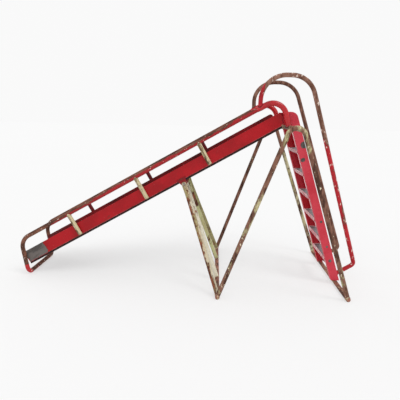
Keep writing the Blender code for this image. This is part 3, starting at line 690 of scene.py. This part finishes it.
def bed_material():
    """Red paint rubbed through to grey steel where children slide; the rolled edges and the faces
    turned from the bed's top very dark red-brown, partly rust and partly painted shade.
    """
    n = Nodes("bed paint and worn steel")
    n.shader.inputs["Specular IOR Level"].default_value = 0.25
    streak = n.noise(26, 2, 6, 0.6, 0.2, DOWN_SLOPE, 8.0)
    ragged = n.noise(17, 5, 6, 0.6, 0.4)
    centre = n.ramp(n.math("ABSOLUTE", n.axis["Y"]), 0.185, 0.04)
    level = n.math("ADD", n.math("MULTIPLY", centre, 0.42), n.math("MULTIPLY", streak, 0.45))
    level = n.math("ADD", level, n.math("MULTIPLY", ragged, 0.3))
    level = n.math("ADD", level, n.ramp(n.axis["X"], -0.55, CHUTE_END_X, 0.0, 0.35))
    up = n.ramp(n.facing(tuple(UP_NORMAL)), 0.6, 0.9)
    worn = n.math("MULTIPLY", n.ramp(level, 0.56, 0.66), up)
    grime = n.noise(120, 8, 7, 0.7)
    paint = n.mix(n.ramp(n.noise(6, 9, 5), 0.35, 0.65), srgb(150, 24, 32), srgb(112, 20, 26))
    paint = n.mix(n.ramp(grime, 0.5, 0.75, 0.0, 0.5), paint, RUST_DARK)
    steel = n.mix(n.ramp(streak, 0.35, 0.65), srgb(86, 82, 80), srgb(132, 126, 122))
    steel = n.mix(n.ramp(n.noise(40, 12, 6, 0.65), 0.56, 0.70, 0.0, 0.6), steel, RUST)
    # Very dark red-brown for the rolled edges and the undersides: partly rust, partly painted shade
    # on faces that turn down.
    rust_and_shade = n.mix(n.ramp(n.noise(45, 15, 6, 0.7), 0.46, 0.66), srgb(26, 4, 4), srgb(70, 22, 18))
    colour = n.mix(worn, paint, steel)
    inner = OUTER_FACE - BED_ROLL
    edge = n.ramp(n.math("ABSOLUTE", n.axis["Y"]), inner, inner + 0.003)
    # below marks the faces turned away from the bed's top, which get the dark tone there as painted
    # shade.
    below = n.math("SUBTRACT", 1.0, up)
    colour = n.mix(n.math("MAXIMUM", edge, n.math("MULTIPLY", below, 0.85)), colour, rust_and_shade)
    height = n.math("ADD", n.math("MULTIPLY", grime, 0.4), n.math("MULTIPLY", worn, -0.5))
    height = n.math("ADD", height, n.math("MULTIPLY", n.noise(30, 18, 3), 0.5))
    rough = n.ramp(worn, 0.0, 1.0, 0.55, 0.36)
    return n.finish(colour, rough, height, metallic=n.math("MULTIPLY", worn, 0.6))


def tread_material():
    """Grey steel trodden bare on top, pink paint left along the folded lips, its pale pink-white
    tone partly a painted highlight on the lip edges.
    """
    n = Nodes("tread paint, worn steel and painted highlight")
    made = n.tree.nodes.new("ShaderNodeSeparateXYZ")
    coords = n.tree.nodes.new("ShaderNodeTexCoord")
    n.link(coords.outputs["Generated"], made.inputs[0])
    ragged = n.math("MULTIPLY", n.math("SUBTRACT", n.noise(60, 3, 6, 0.65, 0.3), 0.5), 0.35)
    from_edge = n.math("ABSOLUTE", n.math("SUBTRACT", made.outputs[0], 0.5))
    from_end = n.math("ABSOLUTE", n.math("SUBTRACT", made.outputs[1], 0.5))
    near_edge = n.ramp(n.math("ADD", from_edge, ragged), 0.40, 0.45)
    near_end = n.ramp(n.math("ADD", from_end, n.math("MULTIPLY", ragged, 0.3)), 0.46, 0.49)
    up = n.ramp(n.facing((0, 0, 1)), 0.6, 0.9)
    painted = n.math("MAXIMUM", n.math("MAXIMUM", near_edge, near_end),
                     n.math("SUBTRACT", 1.0, up))
    chipped = n.ramp(n.noise(80, 5, 6, 0.65), 0.36, 0.42)
    painted = n.math("MULTIPLY", painted, chipped)
    grain = n.noise(190, 7, 6, 0.7)
    blotch = n.noise(28, 9, 6, 0.6)
    steel = n.mix(n.ramp(blotch, 0.38, 0.62), srgb(92, 84, 86), srgb(124, 113, 115))
    steel = n.mix(n.ramp(grain, 0.52, 0.74, 0.0, 0.5), steel, srgb(84, 66, 60))
    # The pale pink-white lip tone is partly a painted highlight where the lip edges catch the
    # light.
    paint = n.mix(n.ramp(blotch, 0.4, 0.6), srgb(226, 190, 190), srgb(206, 120, 126))
    colour = n.mix(painted, steel, paint)
    height = n.math("ADD", n.math("MULTIPLY", grain, 0.4), n.math("MULTIPLY", painted, 0.8))
    rough = n.ramp(painted, 0.0, 1.0, 0.5, 0.55)
    return n.finish(colour, rough, height, metallic=n.ramp(painted, 0.0, 1.0, 0.35, 0.0))


def bolt_material():
    n = Nodes("weathered bolt steel")
    grain = n.noise(300, 3, 6, 0.7)
    blotch = n.noise(90, 5, 6, 0.6)
    colour = n.mix(n.ramp(blotch, 0.42, 0.6), srgb(150, 146, 142), srgb(124, 92, 74))
    colour = n.mix(n.ramp(grain, 0.5, 0.7, 0.0, 0.4), colour, RUST_DARK)
    rough = n.ramp(blotch, 0.4, 0.6, 0.34, 0.7)
    return n.finish(colour, rough, grain, metallic=n.ramp(blotch, 0.4, 0.6, 0.9, 0.3))


# ---- pieces -------------------------------------------------------------------------------------
def build_rails():
    for word, side in SIDES:
        top = rail_point(RAIL_TOP_X, side)
        corner = rail_point(RAIL_CORNER_X, side)
        path = filleted((top, corner, rail_foot(FOOT_RISE, side)), (RAIL_BEND,))
        finish = M["rail_near"] if side < 0 else M["rail_far"]
        new_piece("rail_pipe_" + word, tube(path, R), "slide", finish,
                  ("rail_" + word,))
    points = [rail_foot(FOOT_RISE, -1), rail_foot(R, -1), rail_foot(R, 1), rail_foot(FOOT_RISE, 1)]
    path = filleted(points, (FOOT_BEND, FOOT_BEND))
    new_piece("foot_pipe", tube(path, R), "slide", M["foot"], ("foot_bar",))


def build_hooks():
    for word, side in SIDES:
        y = side * HALF_WIDTH
        end = Vector((BAR.x - HOOK_END_BACK, y, BAR.z + HOOK_END_RISE))
        points = (rail_point(RAIL_TOP_X, side), rail_point(BAR.x - HOOK_CORNER_BACK, side), end)
        path = filleted(points, (HOOK_BEND,))

        def radius(along):
            grown = min(1.0, along / HOOK_FLARE)
            return R + (HOOK_R - R) * (0.35 + 0.65 * grown * grown * (3 - 2 * grown))
        hook = new_piece("hook_pipe_" + word, tube(path, radius, FINE_SPACING), "slide",
                         M["hook"], ("rail_hook_" + word,))
        line = [Vector((BAR.x, y + way * COPE_REACH, BAR.z)) for way in (-1, 1)]
        cut_away(hook, tube(line, R + COPE_CLEARANCE, dent=0))


def post_places():
    """Middle line start of each post, from the posts' own boxes."""
    places = []
    for word, side in SIDES:
        for level in ("lower", "middle", "upper"):
            low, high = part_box("post_%s_%s" % (word, level))
            centre_x = (low.x + high.x) / 2
            centre_z = (low.z + high.z) / 2
            spot = Vector((centre_x, side * HALF_WIDTH, centre_z))
            rail = rail_point(spot.x, side)
            start = rail + DOWN_SLOPE * (spot - rail).dot(DOWN_SLOPE)
            places.append((word, side, level, start))
    return places


def on_face(points, face_y):
    """The points moved along Y onto a sheet's face."""
    return [Vector((p.x, face_y, p.z)) for p in points]


def build_posts():
    welds = {"left": bmesh.new(), "right": bmesh.new()}
    for word, side, level, start in post_places():
        end = start - UP_NORMAL * POST_LENGTH
        finish = M["post_cream"] if side < 0 else M["post_red"]
        pipe = tube([start, end + UP_NORMAL * ROUND_END], R, domes=(False, True))
        new_piece("post_pipe_%s_%s" % (word, level), pipe, "slide", finish,
                  ("post_%s_%s" % (word, level),))
        bm = welds[word]
        bead(bm, saddle(start, -UP_NORMAL, R, start, DOWN_SLOPE, R), closed=True, seed=start.x)
        face_y = side * (OUTER_FACE + ON_FACE)
        wall_top = start - UP_NORMAL * (WALL_DROP + POST_WELD_INSET)
        for way in (-1, 1):
            shift = DOWN_SLOPE * way * POST_WELD_SPREAD
            line = [wall_top + shift, end + UP_NORMAL * POST_WELD_INSET + shift]
            bead(bm, on_face(line, face_y), THIN_BEAD, seed=start.x + way)
        toe = [end + DOWN_SLOPE * POST_TOE * math.cos(a) - UP_NORMAL * POST_TOE_DROP * math.sin(a)
               for a in np.linspace(0, math.pi, 12)]
        bead(bm, on_face(toe, face_y), WIDE_BEAD, seed=start.x + 5)
    for word, bm in welds.items():
        finish = M["weld_cream"] if word == "left" else M["weld_red"]
        new_piece("post_welds_" + word, bm, "slide", finish)


def handrail_path(side):
    foot = rail_point(BAR.x - HANDRAIL_FOOT_BACK, side)
    top_y = side * (HALF_WIDTH + HANDRAIL_SPLAY)
    top_z = foot.z + HANDRAIL_RISE
    corner_x = BAR.x + HANDRAIL_CORNER
    heel_x = corner_x + math.tan(HANDRAIL_LEAN) * (top_z - HANDRAIL_HEEL_Z)
    end_y = side * (OUTER_FACE + STRINGER_EDGE) / 2
    heel = Vector((heel_x, end_y, HANDRAIL_HEEL_Z))
    inner = Vector((stringer_x(HANDRAIL_END_Z), end_y, HANDRAIL_END_Z))
    # the pipe stops on the stringer's rear flange
    flange = Vector((math.cos(LADDER_LEAN), 0, math.sin(LADDER_LEAN)))
    way = (inner - heel).normalized()
    gap = (heel - inner).dot(flange) - STRINGER / 2
    end = heel + way * (gap / -way.dot(flange))
    points = [foot, Vector((foot.x, top_y, top_z)), Vector((corner_x, top_y, top_z)), heel, end]
    return filleted(points, (HANDRAIL_BEND, HANDRAIL_BEND, HANDRAIL_HEEL_BEND)), flange


def build_handrails():
    for word, side in SIDES:
        path, flange = handrail_path(side)
        finish = M["hand_near"] if side < 0 else M["hand_far"]
        rail = new_piece("handrail_pipe_" + word, tube(path, R), "slide", finish,
                         ("handrail_" + word,))
        end = path[-1]
        cut = bmesh.new()
        bmesh.ops.create_cube(cut, size=CUT_BLOCK)
        turn = Matrix.Rotation(-LADDER_LEAN, 4, "Y")
        bmesh.ops.transform(cut, verts=cut.verts,
                            matrix=Matrix.Translation(end - flange * CUT_BLOCK / 2) @ turn)
        cut_away(rail, cut)
        bm = bmesh.new()
        start = path[0]
        joint = saddle(start, path[1] - start, R, start, DOWN_SLOPE, HOOK_R)
        bead(bm, joint, closed=True, seed=side)
        bead(bm, ring_on_plane(end, end - path[-2], R, flange), closed=True, seed=side + 2)
        new_piece("handrail_welds_" + word, bm, "slide", M["weld_red"])


def build_side_frames():
    for word, side in SIDES:
        apex = Vector((BAR.x - FRAME_APEX_BACK, side * FRAME_APEX_Y, BAR.z + FRAME_APEX_RISE))
        front = Vector((SUPPORT_FOOT.x, side * SUPPORT_FOOT_Y, SUPPORT_FOOT.z))
        rear = Vector((LADDER_FOOT.x, side * LADDER_FOOT_Y, LADDER_FOOT.z))
        path = filleted((front, apex, rear), (FRAME_BEND,))
        finish = M["frame_near"] if side < 0 else M["frame_far"]
        new_piece("side_frame_pipe_" + word, tube(path, R), "slide", finish,
                  ("side_frame_" + word,))
        bm = bmesh.new()
        bead(bm, saddle(rear, path[-2] - rear, R, rear, (0, 1, 0), R), closed=True, seed=side)
        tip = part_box("top_crossbar")[1].y * side
        bead(bm, ring_on_plane((BAR.x, tip, BAR.z), (0, side, 0), R, (0, 1, 0)), WIDE_BEAD,
             closed=True, seed=side + 4)
        new_piece("side_frame_welds_" + word, bm, "slide", M["weld_cream"])


def build_bars():
    for name, node, body, finish, slot in (
            ("ladder_foot_pipe", "ladder_foot_bar", "slide", "bar", "worn_cream_paint"),
            ("support_foot_pipe", "support_foot_bar", "support", "bar", "worn_cream_paint"),
            ("crossbar_pipe", "top_crossbar", "slide", "crossbar", "browned_red_paint")):
        low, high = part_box(node)
        centre = (low + high) / 2
        path = [Vector((centre.x, low.y + ROUND_END, centre.z)),
                Vector((centre.x, high.y - ROUND_END, centre.z))]
        new_piece(name, tube(path, R, domes=(True, True)), body, M[finish], (node,))


def strut_outline(t):
    """Half width, half thickness and squareness of a strut at a distance from its bolt.

    The end is pressed flat and round in outline, then swells to the round pipe."""
    tip = EYE_WIDTH / 2
    grown = min(1.0, max(0.0, (t - EYE_FLAT) / (EYE_SPREAD - EYE_FLAT)))
    grown = grown * grown * (3 - 2 * grown)
    half = EYE_SHEET / 2 + (R - EYE_SHEET / 2) * grown
    width = tip + (R - tip) * grown if t > 0 else math.sqrt(tip * tip - t * t)
    return width, half, grown


def strut_bmesh(eye_y, foot_y):
    """One strut from its flattened eye on the pivot to its foot on the floor bar."""
    flat_foot = Vector((SUPPORT_FOOT.x, 0, SUPPORT_FOOT.z))
    along = (flat_foot - PIVOT).normalized()
    across = Vector((along.z, 0, -along.x))
    length = (flat_foot - PIVOT).length
    stops = [-EYE_WIDTH / 2 * math.cos(a) for a in np.linspace(0.16, math.pi / 2, 12)]
    stops += list(np.linspace(0.004, EYE_SPREAD, 18))
    stops += list(np.linspace(EYE_SPREAD, length, 46)[1:])
    bm = bmesh.new()
    rings = []
    for t in stops:
        width, half, grown = strut_outline(t)
        power = 2 / (6 - 4 * grown)
        y = eye_y + (foot_y - eye_y) * max(0.0, t - EYE_BEND) / (length - EYE_BEND)
        centre = Vector((PIVOT.x, y, PIVOT.z)) + along * t
        ring = []
        for k in range(PIPE_SEGMENTS):
            angle = 2 * math.pi * k / PIPE_SEGMENTS
            c = math.cos(angle)
            s = math.sin(angle)
            u = math.copysign(abs(c) ** power, c) * width
            v = math.copysign(abs(s) ** power, s) * half
            spot = centre + across * u + Vector((0, v, 0))
            depth = STRUT_DENT * abs(noise.noise(spot * DENT_WAVES)) * grown
            ring.append(bm.verts.new(spot - (spot - centre) * (depth / R)))
        rings.append(ring)
    loft(bm, rings)
    return bm, along


def build_struts():
    weld = bmesh.new()
    places = (("left", -EYE_Y, -STRUT_FOOT_Y), ("inner_left", -INNER_EYE_Y, -INNER_FOOT_Y),
              ("inner_right", INNER_EYE_Y, INNER_FOOT_Y), ("right", EYE_Y, STRUT_FOOT_Y))
    for word, eye_y, foot_y in places:
        bm, along = strut_bmesh(eye_y, foot_y)
        strut = new_piece("strut_pipe_" + word, bm, "support", M["strut_" + word],
                          ("strut_" + word,))
        hole = [Vector((PIVOT.x, eye_y + reach, PIVOT.z)) for reach in (-HOLE_REACH, HOLE_REACH)]
        cut_away(strut, tube(hole, BOLT_HOLE / 2, dent=0))
        foot = Vector((SUPPORT_FOOT.x, foot_y, SUPPORT_FOOT.z))
        way = (PIVOT + along * EYE_BEND + Vector((0, eye_y, 0)) - foot).normalized()
        bead(weld, saddle(foot, way, R, foot, (0, 1, 0), R), closed=True, seed=foot_y)
    new_piece("strut_welds", weld, "support", M["weld_cream"])


def chute_stations(drop, start_x):
    """Points down the chute on the line at the given drop below the rail."""
    ends = []
    for x in (start_x, CHUTE_END_X):
        ends.append(Vector((x, 0, rail_point(x, 0).z - drop / math.cos(SLOPE))))
    return resampled(ends, BED_STEP)


def build_bed():
    roll = BED_ROLL / 2
    centre = OUTER_FACE - roll
    meet = math.asin(1 - BED_SHEET / roll)
    angles = np.linspace(math.pi / 2, -math.pi - meet, 25)
    right = [(centre + roll * math.cos(a), -roll + roll * math.sin(a)) for a in angles]
    across = [(y, 0.0) for y in np.linspace(-centre, centre, 12)[1:-1]]
    below = [(y, -BED_SHEET) for y in np.linspace(right[-1][0], -right[-1][0], 12)[1:-1]]
    left = [(-y, n) for y, n in reversed(right)]
    section = right + below + left + across
    stations = chute_stations(CHUTE_DROP + GAP, BAR.x - CHUTE_TOP_BACK)
    bm = bmesh.new()
    rings = [[bm.verts.new(point + Vector((0, y, 0)) + UP_NORMAL * n) for y, n in section]
             for point in stations]
    loft(bm, rings)
    new_piece("bed_sheet", bm, "slide", M["bed"], ("chute_bed",))


def build_seams():
    """The thin seam along the foot of each chute wall, above the rolled edge, coloured pale pink:
    partly paint, partly a painted highlight along its top.
    """
    stations = chute_stations(CHUTE_DROP - SEAM_RISE, BAR.x - CHUTE_TOP_BACK - SEAM_SHORT)
    for word, side in SIDES:
        bm = bmesh.new()
        shift = Vector((0, side * (OUTER_FACE + SEAM_PROUD), 0))
        bead(bm, [point + shift for point in stations], SEAM_BEAD, seed=side, sides=8)
        new_piece("wall_seam_" + word, bm, "slide", M["seam"])


def build_ladder_details():
    """Beads where the stringers stand on the floor bar and where the treads meet the stringers."""
    for word, side in SIDES:
        bm = bmesh.new()
        z = LADDER_FOOT.z + R - BAR_BEAD_SINK
        for way in (-1, 1):
            x = LADDER_FOOT.x + way * BAR_WELD_SPREAD
            line = [(x, side * STRINGER_EDGE, z), (x, side * OUTER_FACE, z)]
            bead(bm, line, WIDE_BEAD, seed=way)
        for number in range(1, TREADS + 1):
            low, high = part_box("tread_%d" % number)
            y = side * high.y
            for x in (low.x + TREAD_BEAD_IN, high.x - TREAD_BEAD_IN):
                line = [(x, y, low.z + TREAD_BEAD_SHORT), (x, y, high.z - TREAD_BEAD_SHORT)]
                bead(bm, line, TREAD_BEAD, seed=x)
        new_piece("ladder_welds_" + word, bm, "slide", M["stringer_near"])


def dress_cad_nodes():
    """Materials and softened edges for the pieces whose CAD shape stays."""
    chosen = {"chute_wall_left": ("wall_near", 0.0006), "chute_wall_right": ("wall_far", 0.0006),
              "stringer_left": ("stringer_near", 0.0009),
              "stringer_right": ("stringer_far", 0.0009),
              "tread": ("tread", 0.0006), "strut_bracket": ("bracket", 0.0006),
              "inner_bracket": ("bracket", 0.0005), "pivot_bolt": ("bolt", 0.0005),
              "pivot_nut": ("bolt", 0.0005)}
    for name, obj in sorted(NODES.items()):
        for start, (finish, width) in chosen.items():
            if name.startswith(start):
                obj.data.materials.clear()
                obj.data.materials.append(M[finish])
                bevel = obj.modifiers.new("soft edges", "BEVEL")
                bevel.width = width
                bevel.segments = 2
                bevel.limit_method = "ANGLE"
                bevel.angle_limit = math.radians(40)


# ---- stage, light and camera --------------------------------------------------------------------
FLOOR_RADIUS = 60
FLOOR_SINK = 0.0002           # of the floor below z = 0
FLOOR_GLOW = 0.57             # brings the floor close to the white background
WORLD_STRENGTH = 0.95
LAMPS = (("key", (-0.55, 0.45, -1.0), 0.95, 22.0), ("fill", (0.5, 0.9, -0.35), 0.20, 40.0))
CAMERA_PLACE = (0.153, -2.83, 1.0226)
CAMERA_YAW = math.radians(1.721)
CAMERA_PITCH = math.radians(10.722)
CAMERA_ROLL = math.radians(1.366)
CAMERA_LENS = 38.7
SENSOR_WIDTH = 36.0


def build_floor():
    bm = bmesh.new()
    bmesh.ops.create_circle(bm, cap_ends=True, segments=96, radius=FLOOR_RADIUS)
    mesh = bpy.data.meshes.new("floor")
    bm.to_mesh(mesh)
    bm.free()
    floor = bpy.data.objects.new("floor", mesh)
    bpy.context.scene.collection.objects.link(floor)
    floor.location.z = -FLOOR_SINK
    n = Nodes("floor")
    n.shader.inputs["Emission Color"].default_value = (1.0, 1.0, 1.0, 1.0)
    n.shader.inputs["Emission Strength"].default_value = FLOOR_GLOW
    n.shader.inputs["Specular IOR Level"].default_value = 0.0
    tone = n.mix(n.noise(0.7, 1, 3), (0.315, 0.315, 0.315, 1), (0.325, 0.325, 0.325, 1))
    mesh.materials.append(n.finish(tone, 0.9, n.noise(4, 2, 3), depth=0.0001))


def build_light():
    world = bpy.data.worlds.new("studio")
    world.use_nodes = True
    background = world.node_tree.nodes["Background"]
    background.inputs["Color"].default_value = (1.0, 1.0, 1.0, 1)
    background.inputs["Strength"].default_value = WORLD_STRENGTH
    bpy.context.scene.world = world
    for name, way, strength, spread in LAMPS:
        light = bpy.data.lights.new(name, "SUN")
        light.energy = strength
        light.angle = math.radians(spread)
        lamp = bpy.data.objects.new(name, light)
        lamp.rotation_mode = "QUATERNION"
        lamp.rotation_quaternion = Vector(way).to_track_quat("-Z", "Y")
        bpy.context.scene.collection.objects.link(lamp)


def build_camera():
    ahead = Vector((-math.sin(CAMERA_YAW) * math.cos(CAMERA_PITCH),
                    math.cos(CAMERA_YAW) * math.cos(CAMERA_PITCH), -math.sin(CAMERA_PITCH)))
    level = Vector((math.cos(CAMERA_YAW), math.sin(CAMERA_YAW), 0))
    upright = level.cross(ahead)
    right = level * math.cos(CAMERA_ROLL) + upright * math.sin(CAMERA_ROLL)
    up = upright * math.cos(CAMERA_ROLL) - level * math.sin(CAMERA_ROLL)
    data = bpy.data.cameras.new("camera")
    data.sensor_width = SENSOR_WIDTH
    data.lens = CAMERA_LENS
    data.clip_end = 200
    camera = bpy.data.objects.new("camera", data)
    turn = Matrix((right, up, -ahead)).transposed().to_4x4()
    camera.matrix_world = Matrix.Translation(CAMERA_PLACE) @ turn
    bpy.context.scene.collection.objects.link(camera)
    bpy.context.scene.camera = camera


bpy.context.scene.view_settings.view_transform = "Standard"
make_materials()
build_rails()
build_hooks()
build_posts()
build_handrails()
build_side_frames()
build_bars()
build_struts()
build_bed()
build_seams()
build_ladder_details()
dress_cad_nodes()
build_floor()
build_light()
build_camera()
